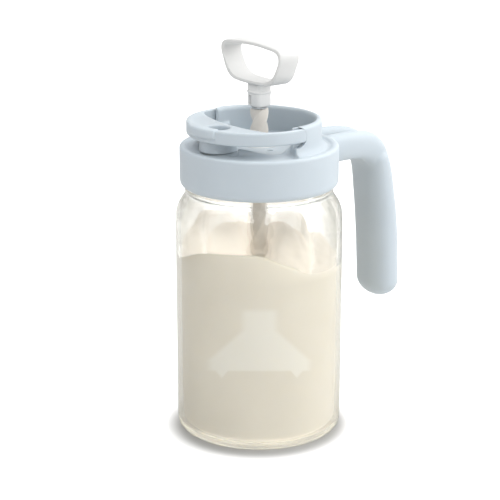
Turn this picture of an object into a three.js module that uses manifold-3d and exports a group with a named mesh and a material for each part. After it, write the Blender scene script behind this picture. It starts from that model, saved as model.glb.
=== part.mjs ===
// Butter churn: a threaded glass jar, a screw cap with a jug handle and a flip pouring visor, and a
// push-pull plunger whose twisted rod turns in a fixed nut, so that each stroke spins a whisk bell.
// Millimetres, +Z up. The origin is the centre of the jar's base, the jug handle points along +X and
// the pouring side along -X.
import * as THREE from 'three';
import { mergeVertices } from 'three/addons/utils/BufferGeometryUtils.js';
import Module from 'manifold-3d';

const wasm = await Module();
wasm.setup();

const TURN = 2 * Math.PI;
const UP = new THREE.Vector3(0, 0, 1);
const GAP = 0.3; // play between neighbouring pieces
const SIDES = 40; // facets of the large turned pieces
const SMALL_SIDES = 20; // facets of the small turned pieces

// Glass jar: a wide-mouth preserving jar of about a litre.
const JAR = {
  radius: 49.5, heel: 9, wall: 3.3, floor: 4, innerHeel: 7,
  shoulder: 127, shoulderTop: 146.2, shoulderNeck: 43.2, shoulderPull: 12, neckPull: 6,
  bead: 43.9, beadHeight: 2.6, neck: 41.3, mouth: 38, rim: 169.4,
};
const THREAD = { pitch: 5.08, turns: 1.25, base: 2.2, crest: 1.0, jarCrest: 42.7, capCrest: 41.9 };
const THREAD_START = 153.6; // height of the jar's thread where it begins

// Screw cap: a plain collar closed by a flat deck.
const SEAL = { inner: 38.3, outer: 42.7, thick: 1.5 };
const DECK = { under: JAR.rim + GAP + SEAL.thick + GAP, thick: 2.5 };
DECK.top = DECK.under + DECK.thick;
const CAP = { radius: 46.7, bore: 43.3, bottom: 149.6, bottomRadius: 44.3, chamfer: 3, topRound: 3.2 };
const VENT = { x: -6, y: -17.3, radius: 1.6 };

// Crown: the raised half ring on the deck, and the low pouring wall that it runs out into. The crown
// and the visor share one outline, a circle a little off the jar's axis.
const RIM = { x: -3.8, radius: 39.5 };
const CROWN = { inner: 34.2, innerX: -2, top: 190, foot: 42, footHeight: 3.4, lip: 1.2 };
CROWN.bottom = DECK.top + GAP;
const POUR_WALL = {
  inner: 32.6, outer: 34.9, high: 178, low: 175.1, joint: 180.4, fromAngle: 88, toAngle: 149,
  fall: [0.06, 0.36], rise: [0.44, 1], // the shares of its length over which it falls and rises
};
// The visor's arms end in part discs about the pivot, each in a round pocket in the crown's outer half;
// the inner half runs on as a lug that carries the pin.
const PIVOT = {
  x: -2.4, z: 184.3, pin: 1.7, hole: 2.05, round: 5.7, pocket: 6, pinEnd: 38.2,
  lugOuter: 36.3, lugEnd: -4.6,
};

// Flip visor with its hollow plug over the pouring hole.
const VISOR = {
  top: 187.6, plate: 3, rim: 6.6, lip: 1.4, inner: 36.95, edge: -20, edgeEnd: -13.5,
  tabAngle: 18, tabReach: 2.1, tabThick: 6, tabRaise: 0.5,
};
const SPOUT = { x: -30, hole: 7, plug: 10.75, neck: 9, recess: 6.8, floor: 178 };
const SPOUT_SEAL = { inner: 7.3, outer: 10.2, thick: 1.2 };

// Jug handle: two arms that leave the collar level and join into one hanging grip.
const HANDLE = {
  armY: 9.8, armHalfWidth: 5.2, armHalfHeight: 8.6, mergeY: 7.4, mergeHalfWidth: 6, mergeHalfHeight: 6.8,
  gripHalfDepth: 10.4, gripHalfWidth: 15, endRound: 11, sides: 16,
};
const HANDLE_PATH = new THREE.CatmullRomCurve3([
  [40, 165.4], [60, 165.8], [77, 163.2], [87, 152.8], [91.2, 133], [94.6, 104], [96.8, 62],
].map(([x, z]) => new THREE.Vector3(x, 0, z)));
const HANDLE_MERGE = { // shares of the path's length
  gripFrom: 0.27, gripFull: 0.36, gripDeep: 0.7, armTo: 0.43,
};

// Twisted rod, its nut and the swivel in the pull handle.
const ROD = { side: 7.7, corner: 1.1, lead: 46, phase: 0.46, play: 0.35, bottom: 73.6, step: 3.1 };
const SOCKET = { x: 10.5, y: 11, corner: 2, bottom: 196.3, top: 209.2, bore: 3.1, taper: 1.4, bead: 0.9 };
const WASHER = { inner: 3.1, outer: 4.7, thick: 0.8 };
ROD.top = SOCKET.bottom - 2 * GAP - WASHER.thick;
const NECK = { radius: 2.8, groove: 1.7, grooveHalf: 1.1, top: 207.4 };
const PIN = { radius: 0.7, z: 204.8, reach: 4.5 };
PIN.y = NECK.groove + GAP + PIN.radius;
const SLOT = { width: 1.7, bottom: 197.2, top: 203, y: 2.2 };
const NUT = { flange: 12, flangeThick: 1.4, body: 9.1, bottom: 165, top: DECK.top + GAP };
NUT.ledge = NUT.top - NUT.flangeThick - GAP;
const WIPER = { inner: 5.45, thick: 2, bottom: 162.7 };
const RETAINER = { outer: 11.6, lip: 5.9, bottom: 160.6, lipThick: 1.8 };

// Pull loop: a flat band bent into a rounded trapezium, widest near its top.
const LOOP = {
  depth: 14, band: 2.2, bottom: SOCKET.top + GAP, top: 235, halfTop: 30.3, halfBottom: 21, shoulder: 2.8,
  rise: 1.3, topRound: 6, bottomRound: 8, middleRound: 12, stub: 2.9,
};
LOOP.stubBottom = NECK.top + 2 * GAP;

// Whisk bell on the rod's lower end.
const BELL = {
  hub: 10.5, hubTop: 73.3, hubBottom: 62, radius: 34, rim: 42, rimHeight: 4, arms: 4, spigot: 5,
  windowFrom: 14.5, windowTo: 28.5, windowNarrow: 4.5, windowWide: 9.5, footWidth: 9, footTip: 36,
};
const BELL_NUT = { radius: 5.6, thick: 5, washer: 7, washerThick: 0.8, stud: 2.4, studHole: 2.75 };
BELL_NUT.bottom = BELL.hubBottom - 2 * GAP - BELL_NUT.washerThick - BELL_NUT.thick;

// --- solids -------------------------------------------------------------------------------------

function toSolid(geometry) {
  const bare = geometry.clone();
  bare.deleteAttribute('normal');
  bare.deleteAttribute('uv');
  const merged = mergeVertices(bare, 1e-4);
  const index = [];
  for (let i = 0; i < merged.index.count; i += 3) {
    const [a, b, c] = [0, 1, 2].map((k) => merged.index.getX(i + k));
    if (a !== b && b !== c && c !== a) index.push(a, b, c); // a turned profile has flat slivers on its axis
  }
  return new wasm.Manifold(new wasm.Mesh({
    numProp: 3,
    vertProperties: new Float32Array(merged.attributes.position.array),
    triVerts: new Uint32Array(index),
  }));
}

function toGeometry(solid) {
  const mesh = solid.getMesh();
  const geometry = new THREE.BufferGeometry();
  geometry.setAttribute('position', new THREE.BufferAttribute(new Float32Array(mesh.vertProperties), 3));
  geometry.setIndex(Array.from(mesh.triVerts));
  geometry.computeVertexNormals();
  return geometry;
}

const join = (...solids) => solids.reduce((whole, next) => whole.add(next));
const cut = (solid, ...tools) => tools.reduce((rest, tool) => rest.subtract(tool), solid);

// A profile of [radius, height] pairs turned about Z; it rises on the outside and falls on the inside.
function turned(profile, sides = SIDES) {
  const points = profile.map(([r, z]) => new THREE.Vector2(r, z));
  const onAxis = profile[0][0] === 0 && profile[profile.length - 1][0] === 0;
  if (!onAxis) points.push(points[0].clone());
  return toSolid(new THREE.LatheGeometry(points, sides).rotateX(Math.PI / 2));
}

function tube(inner, outer, bottom, top, sides = SIDES) {
  return turned([[outer, bottom], [outer, top], [inner, top], [inner, bottom]], sides);
}

function disc(radius, bottom, top, x = 0, y = 0, sides = SMALL_SIDES) {
  const geometry = new THREE.CylinderGeometry(radius, radius, top - bottom, sides).rotateX(Math.PI / 2);
  return toSolid(geometry.translate(x, y, (bottom + top) / 2));
}

const ordered = (a, b) => [Math.min(a, b), Math.max(a, b)];

// Short round bars that lie along Y or along X.
function discY(radius, from, to, x, z) {
  const geometry = new THREE.CylinderGeometry(radius, radius, to - from, SMALL_SIDES);
  return toSolid(geometry.translate(x, (from + to) / 2, z));
}

function discX(radius, from, to, y, z) {
  const geometry = new THREE.CylinderGeometry(radius, radius, to - from, SMALL_SIDES).rotateZ(Math.PI / 2);
  return toSolid(geometry.translate((from + to) / 2, y, z));
}

function block([x0, x1], [y0, y1], [z0, z1]) {
  const geometry = new THREE.BoxGeometry(x1 - x0, y1 - y0, z1 - z0);
  return toSolid(geometry.translate((x0 + x1) / 2, (y0 + y1) / 2, (z0 + z1) / 2));
}

// A flat outline of [x, y] pairs raised from one height to another.
function raised(outline, bottom, top) {
  const shape = new THREE.Shape(outline.map(([x, y]) => new THREE.Vector2(x, y)));
  const geometry = new THREE.ExtrudeGeometry(shape, { depth: top - bottom, bevelEnabled: false });
  return toSolid(geometry.translate(0, 0, bottom));
}

// Skins a row of rings of points; each ring runs anticlockwise about the way the row advances.
function loft(rings) {
  const count = rings[0].length;
  const positions = rings.flat().flatMap((p) => [p.x, p.y, p.z]);
  const index = [];
  for (let i = 0; i + 1 < rings.length; i += 1) {
    for (let j = 0; j < count; j += 1) {
      const next = (j + 1) % count;
      const [a, b] = [i * count + j, i * count + next];
      index.push(a, b, b + count, a, b + count, a + count);
    }
  }
  const ends = [[rings[0], 0, true], [rings.at(-1), (rings.length - 1) * count, false]];
  for (const [ring, first, flip] of ends) {
    const middle = ring.reduce((sum, p) => sum.clone().add(p), new THREE.Vector3()).divideScalar(count);
    const centre = positions.length / 3;
    positions.push(middle.x, middle.y, middle.z);
    for (let j = 0; j < count; j += 1) {
      const [a, b] = [first + j, first + ((j + 1) % count)];
      index.push(centre, flip ? b : a, flip ? a : b);
    }
  }
  const geometry = new THREE.BufferGeometry();
  geometry.setAttribute('position', new THREE.Float32BufferAttribute(positions, 3));
  geometry.setIndex(index);
  return toSolid(geometry);
}

// Points of an arc in [a, b] pairs, from one angle to another in degrees.
function arc(centreA, centreB, radius, from, to, steps) {
  return Array.from({ length: steps + 1 }, (_, i) => {
    const angle = THREE.MathUtils.degToRad(from + ((to - from) * i) / steps);
    return [centreA + radius * Math.cos(angle), centreB + radius * Math.sin(angle)];
  });
}

function roundedRectangle(width, height, corner, steps = 2) {
  const [x, y] = [width / 2 - corner, height / 2 - corner];
  return [[x, y, 0], [-x, y, 90], [-x, -y, 180], [x, -y, 270]]
    .flatMap(([cx, cy, start]) => arc(cx, cy, corner, start, start + 90, steps));
}

// A helical ridge from a wall at one radius to a crest at another; its ends run out into the wall.
function threadRidge(root, crest, start, turns) {
  const steps = Math.round(turns * SIDES);
  const sunk = root + Math.sign(root - crest) * GAP;
  const rings = Array.from({ length: steps + 1 }, (_, i) => {
    const runOut = Math.min(1, Math.min(i, steps - i) / 3);
    const tip = THREE.MathUtils.lerp(root, crest, 0.05 + 0.95 * runOut);
    const angle = (turns * TURN * i) / steps;
    const z = start + (THREAD.pitch * angle) / TURN;
    const section = [[sunk, THREAD.base], [tip, THREAD.crest], [tip, -THREAD.crest], [sunk, -THREAD.base]]
      .map(([r, w]) => new THREE.Vector3(r * Math.cos(angle), r * Math.sin(angle), z + w / 2));
    return crest > root ? section : section.reverse();
  });
  return loft(rings);
}

// A rounded square bar whose section turns right-handed by one turn in each lead.
function twistedBar(side, corner, bottom, top, step) {
  const section = roundedRectangle(side, side, corner);
  const steps = Math.ceil((top - bottom) / step);
  return loft(Array.from({ length: steps + 1 }, (_, i) => {
    const z = bottom + ((top - bottom) * i) / steps;
    const turn = (TURN * z) / ROD.lead + ROD.phase;
    return section.map(([x, y]) => new THREE.Vector3(x, y, z).applyAxisAngle(UP, turn));
  }));
}

// --- jar ----------------------------------------------------------------------------------------

function glassJar() {
  const shoulder = new THREE.CubicBezierCurve(
    new THREE.Vector2(JAR.radius, JAR.shoulder),
    new THREE.Vector2(JAR.radius, JAR.shoulder + JAR.shoulderPull),
    new THREE.Vector2(JAR.shoulderNeck + 1, JAR.shoulderTop - JAR.neckPull),
    new THREE.Vector2(JAR.shoulderNeck, JAR.shoulderTop),
  ).getPoints(6).map((p) => [p.x, p.y]);
  const beadTop = JAR.shoulderTop + JAR.beadHeight;
  const innerRadius = JAR.radius - JAR.wall;
  const profile = [
    [0, 0],
    ...arc(JAR.radius - JAR.heel, JAR.heel, JAR.heel, -90, 0, 4),
    ...shoulder,
    [JAR.bead, JAR.shoulderTop + 0.8], [JAR.bead, beadTop - 0.8], [JAR.neck, beadTop + 1.2],
    [JAR.neck, JAR.rim - 1], [JAR.neck - 1, JAR.rim], [JAR.mouth + 1, JAR.rim], [JAR.mouth, JAR.rim - 1],
    [JAR.mouth, beadTop], [JAR.mouth + JAR.wall * 0.8, JAR.shoulderTop - JAR.neckPull],
    [innerRadius - JAR.wall / 2, JAR.shoulder + JAR.neckPull], [innerRadius, JAR.shoulder],
    ...arc(innerRadius - JAR.innerHeel, JAR.floor + JAR.innerHeel, JAR.innerHeel, 0, -90, 3),
    [0, JAR.floor],
  ];
  return join(turned(profile), threadRidge(JAR.neck, THREAD.jarCrest, THREAD_START, THREAD.turns));
}

function jarSealRing() {
  const bottom = JAR.rim + GAP;
  return tube(SEAL.inner, SEAL.outer, bottom, bottom + SEAL.thick);
}

// --- cap ----------------------------------------------------------------------------------------

function screwCap() {
  const shell = turned([
    [0, DECK.under], [CAP.bore, DECK.under], [CAP.bore, CAP.bottom], [CAP.bottomRadius, CAP.bottom],
    [CAP.radius - 0.7, CAP.bottom + 1.4], [CAP.radius, CAP.bottom + CAP.chamfer],
    ...arc(CAP.radius - CAP.topRound, DECK.top - CAP.topRound, CAP.topRound, 0, 90, 3),
    [0, DECK.top],
  ]);
  const thread = threadRidge(CAP.bore, THREAD.capCrest, THREAD_START - THREAD.pitch / 2, THREAD.turns);
  return cut(
    join(shell, thread),
    disc(SPOUT.hole, DECK.under - 1, DECK.top + 1, SPOUT.x),
    disc(VENT.radius, DECK.under - 1, DECK.top + 1, VENT.x, VENT.y),
    disc(NUT.flange + GAP, NUT.ledge, DECK.top + 1),
    disc(NUT.body + GAP, DECK.under - 1, DECK.top + 1),
  );
}

// The low wall beside the pouring hole: it drops from the crown's end, dips and rises to the plug.
function pourWall(side) {
  const { fromAngle, toAngle } = POUR_WALL;
  const steps = 12;
  const rings = Array.from({ length: steps + 1 }, (_, i) => {
    const along = side > 0 ? i / steps : 1 - i / steps;
    const angle = THREE.MathUtils.degToRad(side * THREE.MathUtils.lerp(fromAngle, toAngle, along));
    const fall = THREE.MathUtils.smoothstep(along, ...POUR_WALL.fall);
    const rise = THREE.MathUtils.smoothstep(along, ...POUR_WALL.rise);
    const top = THREE.MathUtils.lerp(POUR_WALL.joint, POUR_WALL.low, fall)
      + (POUR_WALL.high - POUR_WALL.low) * rise;
    return [[POUR_WALL.inner, top], [POUR_WALL.outer, top],
      [POUR_WALL.outer, CROWN.bottom], [POUR_WALL.inner, CROWN.bottom]]
      .map(([r, z]) => new THREE.Vector3(r * Math.cos(angle), r * Math.sin(angle), z));
  });
  return loft(rings);
}

function pourCrown() {
  const outside = turned([
    [0, CROWN.bottom], [CROWN.foot, CROWN.bottom],
    [RIM.radius + (CROWN.foot - RIM.radius) / 3, CROWN.bottom + CROWN.footHeight / 3],
    [RIM.radius, CROWN.bottom + CROWN.footHeight], [RIM.radius, CROWN.top - CROWN.lip],
    [RIM.radius - CROWN.lip / 3, CROWN.top - CROWN.lip / 3], [RIM.radius - CROWN.lip, CROWN.top],
    [0, CROWN.top],
  ]).translate([RIM.x, 0, 0]);
  const [below, above, reach] = [CROWN.bottom - 1, CROWN.top + 1, CROWN.foot + 5];
  const hollow = disc(CROWN.inner, below, above, CROWN.innerX, 0, SIDES);
  const handleSide = block([PIVOT.lugEnd, reach], [-reach, reach], [below, above]);
  const ring = cut(outside, hollow).intersect(handleSide);
  const sides = [1, -1];
  const pockets = sides.flatMap((side) => {
    const across = ordered(side * PIVOT.lugOuter, side * reach);
    return [
      discY(PIVOT.pocket, ...across, PIVOT.x, PIVOT.z),
      block([-reach, PIVOT.x], across, [PIVOT.z - PIVOT.pocket, above]),
    ];
  });
  const pins = sides.map((side) => discY(
    PIVOT.pin, ...ordered(side * (PIVOT.lugOuter - 1), side * PIVOT.pinEnd), PIVOT.x, PIVOT.z,
  ));
  return join(cut(ring, ...pockets), pourWall(1), pourWall(-1), ...pins);
}

// An oval section across the handle's path at one place, with its long side along Y.
function handleRing(place, sideways, halfDepth, halfWidth) {
  const centre = HANDLE_PATH.getPointAt(place);
  const across = new THREE.Vector3(0, 1, 0);
  const outward = across.clone().cross(HANDLE_PATH.getTangentAt(place));
  return Array.from({ length: HANDLE.sides }, (_, i) => {
    const angle = (TURN * i) / HANDLE.sides;
    return centre.clone()
      .addScaledVector(outward, halfDepth * Math.cos(angle))
      .addScaledVector(across, sideways + halfWidth * Math.sin(angle));
  });
}

function handleArm(side) {
  const steps = 8;
  return loft(Array.from({ length: steps + 1 }, (_, i) => {
    const along = THREE.MathUtils.smoothstep(i / steps, 0.25, 1);
    const sideways = side * THREE.MathUtils.lerp(HANDLE.armY, HANDLE.mergeY, along);
    const halfWidth = THREE.MathUtils.lerp(HANDLE.armHalfWidth, HANDLE.mergeHalfWidth, along);
    const sink = THREE.MathUtils.smoothstep(i / steps, 0.6, 1);
    const halfHeight = THREE.MathUtils.lerp(HANDLE.armHalfHeight, HANDLE.mergeHalfHeight, sink);
    return handleRing((HANDLE_MERGE.armTo * i) / steps, sideways, halfHeight, halfWidth);
  }));
}

function handleGrip() {
  const steps = 12;
  const length = HANDLE_PATH.getLength();
  const rounds = [0.35, 0.6, 0.8, 0.93, 0.99]; // how far through its rounded end each last section lies
  const straight = 1 - HANDLE.endRound / length;
  const places = [
    ...Array.from({ length: steps + 1 }, (_, i) => HANDLE_MERGE.gripFrom
      + ((straight - HANDLE_MERGE.gripFrom) * i) / steps),
    ...rounds.map((share) => straight + (1 - straight) * share),
  ];
  return loft(places.map((place) => {
    const swell = THREE.MathUtils.smoothstep(place, HANDLE_MERGE.gripFrom, HANDLE_MERGE.gripDeep);
    const share = Math.max(0, (place - straight) / (1 - straight));
    const shrink = Math.sqrt(1 - share * share);
    const halfDepth = THREE.MathUtils.lerp(HANDLE.armHalfHeight - 0.4, HANDLE.gripHalfDepth, swell);
    const start = THREE.MathUtils.smoothstep(place, HANDLE_MERGE.gripFrom, HANDLE_MERGE.gripFull);
    const halfWidth = THREE.MathUtils.lerp(HANDLE.mergeY, HANDLE.gripHalfWidth, start);
    return handleRing(place, 0, halfDepth * shrink, halfWidth * shrink);
  }));
}

function jugHandle() {
  const collar = disc(CAP.radius + GAP, CAP.bottom - 10, CROWN.top, 0, 0, SIDES);
  return cut(join(handleArm(1), handleArm(-1), handleGrip()), collar);
}

// --- nut in the deck ----------------------------------------------------------------------------

function driveNut() {
  const outside = turned([
    [0, NUT.bottom], [NUT.body, NUT.bottom], [NUT.body, NUT.ledge + GAP], [NUT.flange, NUT.ledge + GAP],
    [NUT.flange, NUT.top - 0.5], [NUT.flange - 0.8, NUT.top], [0, NUT.top],
  ], SMALL_SIDES);
  const side = ROD.side + 2 * ROD.play;
  return cut(outside, twistedBar(side, ROD.corner + ROD.play, NUT.bottom - 1, NUT.top + 1, ROD.step / 2));
}

function rodWiper() {
  return tube(WIPER.inner, NUT.body, WIPER.bottom, WIPER.bottom + WIPER.thick, SMALL_SIDES);
}

function nutRetainer() {
  const top = DECK.under - GAP;
  const lipTop = RETAINER.bottom + RETAINER.lipThick;
  return turned([
    [RETAINER.outer, RETAINER.bottom], [RETAINER.outer, top], [NUT.body + GAP, top],
    [NUT.body + GAP, lipTop], [RETAINER.lip, lipTop], [RETAINER.lip, RETAINER.bottom],
  ], SMALL_SIDES);
}

// --- visor --------------------------------------------------------------------------------------

function pourVisor() {
  const bottom = VISOR.top - VISOR.rim;
  const halfChord = VISOR.inner;
  const sagitta = VISOR.edgeEnd - VISOR.edge;
  const edgeRadius = (halfChord ** 2 + sagitta ** 2) / (2 * sagitta);
  const [below, above] = [bottom - 1, VISOR.top + VISOR.lip + 1];
  const lipTop = VISOR.top + VISOR.lip;
  const dish = disc(VISOR.inner, VISOR.top, above, RIM.x, 0, SIDES);
  const whole = cut(disc(RIM.radius, bottom, lipTop, RIM.x, 0, SIDES), dish);
  const hollow = disc(VISOR.inner, below, VISOR.top - VISOR.plate, RIM.x, 0, SIDES);
  const opening = disc(VISOR.inner, below, above, RIM.x, 0, SIDES)
    .intersect(disc(edgeRadius, below, above, VISOR.edge + edgeRadius, 0, 4 * SIDES));
  const reach = RIM.radius + 1;
  const beyondPivot = cut(
    block([PIVOT.x, reach], [-reach, reach], [below, above]),
    discY(PIVOT.round, -reach, reach, PIVOT.x, PIVOT.z),
  );
  const armFace = PIVOT.lugOuter + GAP;
  const betweenArms = block([PIVOT.x - PIVOT.pocket, reach], [-armFace, armFace], [below, above]);
  const [tabFrom, tabTo] = [180 - VISOR.tabAngle, 180 + VISOR.tabAngle];
  const tabTop = lipTop + VISOR.tabRaise;
  const tab = raised([
    ...arc(RIM.x, 0, RIM.radius + VISOR.tabReach, tabFrom, tabTo, 8),
    ...arc(RIM.x, 0, VISOR.inner, tabTo, tabFrom, 8),
  ], tabTop - VISOR.tabThick, tabTop);
  return cut(
    join(cut(whole, hollow, opening, beyondPivot, betweenArms), tab),
    discY(PIVOT.hole, -PIVOT.pinEnd - GAP, PIVOT.pinEnd + GAP, PIVOT.x, PIVOT.z),
    disc(SPOUT.recess, below, above, SPOUT.x),
  );
}

function spoutPlug() {
  const bottom = DECK.top + GAP + SPOUT_SEAL.thick + GAP;
  const step = VISOR.top - VISOR.rim - GAP;
  const top = VISOR.top - VISOR.plate - GAP;
  return turned([
    [0, bottom], [SPOUT.plug, bottom], [SPOUT.plug, step], [SPOUT.neck, step], [SPOUT.neck, top],
    [SPOUT.recess, top], [SPOUT.recess, SPOUT.floor], [0, SPOUT.floor],
  ], SMALL_SIDES);
}

function spoutSeal() {
  const bottom = DECK.top + GAP;
  return tube(SPOUT_SEAL.inner, SPOUT_SEAL.outer, bottom, bottom + SPOUT_SEAL.thick, SMALL_SIDES);
}

// --- plunger ------------------------------------------------------------------------------------

// A closed outline with its corners rounded off, from [across, height, rounding] triples.
function roundedOutline(corners) {
  const points = corners.map(([a, b, rounding]) => ({ at: new THREE.Vector2(a, b), rounding }));
  return points.flatMap(({ at, rounding }, i) => {
    const before = points.at(i - 1).at;
    const after = points[(i + 1) % points.length].at;
    const start = at.clone().add(before.clone().sub(at).setLength(rounding));
    const end = at.clone().add(after.clone().sub(at).setLength(rounding));
    return new THREE.QuadraticBezierCurve(start, at, end).getPoints(4);
  });
}

function loopCorners(inset) {
  const [low, high] = [LOOP.bottom + inset, LOOP.top - inset];
  const [halfTop, halfBottom] = [LOOP.halfTop - inset, LOOP.halfBottom - inset];
  const [shoulder, rise] = [high - LOOP.shoulder, low + LOOP.rise];
  return [
    [0, low, LOOP.middleRound], [halfBottom, rise, LOOP.bottomRound], [halfTop, shoulder, LOOP.topRound],
    [0, high, LOOP.middleRound], [-halfTop, shoulder, LOOP.topRound], [-halfBottom, rise, LOOP.bottomRound],
  ];
}

function pullLoop() {
  const shape = new THREE.Shape(roundedOutline(loopCorners(0)));
  shape.holes.push(new THREE.Path(roundedOutline(loopCorners(LOOP.band))));
  const band = new THREE.ExtrudeGeometry(shape, { depth: LOOP.depth, bevelEnabled: false });
  band.translate(0, 0, -LOOP.depth / 2);
  band.applyMatrix4(new THREE.Matrix4().makeBasis(
    new THREE.Vector3(0, 1, 0), new THREE.Vector3(0, 0, 1), new THREE.Vector3(1, 0, 0),
  ));
  const half = LOOP.stub;
  return join(toSolid(band), block([-half, half], [-half, half], [LOOP.stubBottom, LOOP.bottom + 1]));
}

function handleSocket() {
  const outline = (x, y, corner, z) => roundedRectangle(x, y, corner)
    .map(([px, py]) => new THREE.Vector3(px, py, z));
  const { taper, bead } = SOCKET;
  const outside = loft([
    outline(SOCKET.x - taper, SOCKET.y - taper, SOCKET.corner - taper / 4, SOCKET.bottom),
    outline(SOCKET.x, SOCKET.y, SOCKET.corner, SOCKET.bottom + taper),
    outline(SOCKET.x, SOCKET.y, SOCKET.corner, PIN.z - bead),
    outline(SOCKET.x + bead, SOCKET.y + bead, SOCKET.corner + bead / 2, PIN.z - bead / 2),
    outline(SOCKET.x + bead, SOCKET.y + bead, SOCKET.corner + bead / 2, PIN.z + bead / 2),
    outline(SOCKET.x, SOCKET.y, SOCKET.corner, PIN.z + bead),
    outline(SOCKET.x, SOCKET.y, SOCKET.corner, SOCKET.top),
  ]);
  const pocket = LOOP.stub + GAP;
  const pinHole = PIN.reach + GAP;
  return cut(
    outside,
    disc(SOCKET.bore, SOCKET.bottom - 1, SOCKET.top + 1),
    block([-pocket, pocket], [-pocket, pocket], [LOOP.stubBottom - GAP, SOCKET.top + 1]),
    ...[1, -1].map((side) => discX(PIN.radius + GAP, -pinHole, pinHole, side * PIN.y, PIN.z)),
    block([-SOCKET.x, 0], [SLOT.y - SLOT.width / 2, SLOT.y + SLOT.width / 2], [SLOT.bottom, SLOT.top]),
  );
}

function swivelPin(side) {
  return discX(PIN.radius, -PIN.reach, PIN.reach, side * PIN.y, PIN.z);
}

function swivelWasher() {
  const top = SOCKET.bottom - GAP;
  return tube(WASHER.inner, WASHER.outer, top - WASHER.thick, top, SMALL_SIDES);
}

function twistedRod() {
  const half = BELL.spigot / 2;
  const neck = turned([
    [0, ROD.top - 1], [NECK.radius, ROD.top - 1], [NECK.radius, PIN.z - NECK.grooveHalf],
    [NECK.groove, PIN.z - NECK.grooveHalf], [NECK.groove, PIN.z + NECK.grooveHalf],
    [NECK.radius, PIN.z + NECK.grooveHalf], [NECK.radius, NECK.top], [0, NECK.top],
  ], SMALL_SIDES);
  return join(
    twistedBar(ROD.side, ROD.corner, ROD.bottom, ROD.top, ROD.step),
    neck,
    block([-half, half], [-half, half], [BELL.hubBottom + GAP, ROD.bottom + 1]),
    disc(BELL_NUT.stud, BELL_NUT.bottom - 1, BELL.hubBottom + 1),
  );
}

// --- whisk bell ---------------------------------------------------------------------------------

function pointedFoot(angle) {
  const radius = BELL.radius - 1.6;
  const level = (halfWidth, halfDepth, z) => [[1, 1], [-1, 1], [-1, -1], [1, -1]]
    .map(([a, b]) => new THREE.Vector3(radius + a * halfDepth, b * halfWidth, z).applyAxisAngle(UP, angle));
  return loft([level(1, 0.8, BELL.footTip), level(BELL.footWidth / 2, 1.4, BELL.rim + 1)]);
}

function whiskBell() {
  const shell = turned([
    [0, BELL.hubBottom], [BELL.hub - 1.5, BELL.hubBottom], [BELL.radius - 2.2, BELL.rim],
    [BELL.radius, BELL.rim], [BELL.radius, BELL.rim + BELL.rimHeight], [BELL.hub + 4, BELL.hubBottom - 0.5],
    [BELL.hub, BELL.hubBottom + 4], [BELL.hub, BELL.hubTop - 1], [BELL.hub - 1, BELL.hubTop],
    [0, BELL.hubTop],
  ]);
  const half = BELL.spigot / 2 + GAP;
  const window = [
    [BELL.windowFrom, -BELL.windowNarrow], [BELL.windowTo, -BELL.windowWide],
    [BELL.windowTo, BELL.windowWide], [BELL.windowFrom, BELL.windowNarrow],
  ].map(([x, y]) => new THREE.Vector2(x, y));
  const angles = Array.from({ length: BELL.arms }, (_, i) => (TURN * i) / BELL.arms);
  const windows = angles.map((angle) => raised(
    window.map((p) => p.clone().rotateAround(new THREE.Vector2(), angle).toArray()),
    BELL.rim - 1, BELL.hubTop,
  ));
  const feet = angles.map((angle) => pointedFoot(angle + TURN / (2 * BELL.arms)));
  return cut(
    join(shell, ...feet),
    ...windows,
    block([-half, half], [-half, half], [BELL.hubBottom - 1, BELL.hubTop + 1]),
  );
}

function bellWasher() {
  const top = BELL.hubBottom - GAP;
  return tube(BELL_NUT.studHole, BELL_NUT.washer, top - BELL_NUT.washerThick, top, SMALL_SIDES);
}

function bellNut() {
  const top = BELL_NUT.bottom + BELL_NUT.thick;
  return cut(
    disc(BELL_NUT.radius, BELL_NUT.bottom, top, 0, 0, 6),
    disc(BELL_NUT.studHole, BELL_NUT.bottom - 1, top + 1),
  );
}

// --- assembly -----------------------------------------------------------------------------------

function plastic(color, roughness = 0.5) {
  return new THREE.MeshStandardMaterial({ color, roughness, metalness: 0 });
}

const steel = new THREE.MeshStandardMaterial({ color: 0xb9bcc0, roughness: 0.3, metalness: 1 });
const glass = new THREE.MeshStandardMaterial({
  color: 0xf4f7f6, roughness: 0.05, metalness: 0, transparent: true, opacity: 0.3,
});
const capBlue = plastic(0xbfccd8);
const loopWhite = plastic(0xe2e2e0);
const rodBeige = plastic(0xd2cac0, 0.45);
const nutWhite = plastic(0xe8e8e4);
const silicone = plastic(0xe9ebea, 0.7);
const bellWhite = plastic(0xf2f2ee);

const churn = new THREE.Group();

function add(name, solid, material, x = 0) {
  const mesh = new THREE.Mesh(toGeometry(solid), material);
  mesh.name = name;
  mesh.position.x = x;
  churn.add(mesh);
}

add('glass_jar', glassJar(), glass);
add('jar_seal_ring', jarSealRing(), silicone);
add('screw_cap', screwCap(), capBlue);
add('pour_crown', pourCrown(), capBlue);
add('jug_handle', jugHandle(), capBlue);
add('drive_nut', driveNut(), nutWhite);
add('rod_wiper', rodWiper(), silicone);
add('nut_retainer', nutRetainer(), nutWhite);
add('pour_visor', pourVisor(), capBlue);
add('spout_plug', spoutPlug(), capBlue, SPOUT.x);
add('spout_seal', spoutSeal(), silicone, SPOUT.x);
add('pull_loop', pullLoop(), loopWhite);
add('handle_socket', handleSocket(), loopWhite);
add('swivel_pin_left', swivelPin(1), steel);
add('swivel_pin_right', swivelPin(-1), steel);
add('swivel_washer', swivelWasher(), steel);
add('twisted_rod', twistedRod(), rodBeige);
add('whisk_bell', whiskBell(), bellWhite);
add('bell_washer', bellWasher(), steel);
add('bell_nut', bellNut(), nutWhite);

export default churn;
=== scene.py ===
"""Butter churn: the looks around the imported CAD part.

Meshes are built in millimetres in the CAD part's frame and scaled to metres when they become objects.
+Z is up, the jug handle points along +X and the pouring side along -X.
"""

import math

import bmesh
import bpy
from mathutils import Matrix, Vector, noise


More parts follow.
